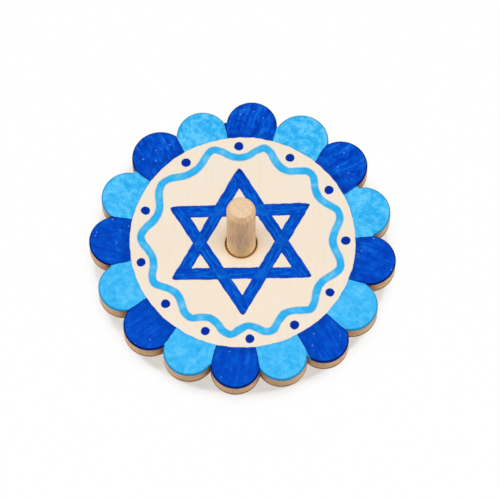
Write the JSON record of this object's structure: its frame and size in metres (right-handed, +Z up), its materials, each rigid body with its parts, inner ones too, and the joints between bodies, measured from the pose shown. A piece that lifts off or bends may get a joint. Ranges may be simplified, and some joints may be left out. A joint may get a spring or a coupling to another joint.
{
  "type": "spinning top",
  "caption": "Wooden disc top with a scalloped rim on a turned spindle, twirled by its chamfered grip and spinning on a small rounded tip.",
  "frame": {"origin": "the rounded tip that the top spins on", "axes": "+Z up along the spindle towards the grip, -Y towards the viewer of the painted face, +X to the viewer's right"},
  "size_m": [0.0763, 0.0764, 0.0405],
  "materials": {
    "disc_wood": "sanded, ornament in felt-tip ink",
    "spindle_wood": "turned, unvarnished"
  },
  "bodies": {
    "root": {"disc": "disc_wood", "spindle": "spindle_wood"}
  },
  "joints": []
}
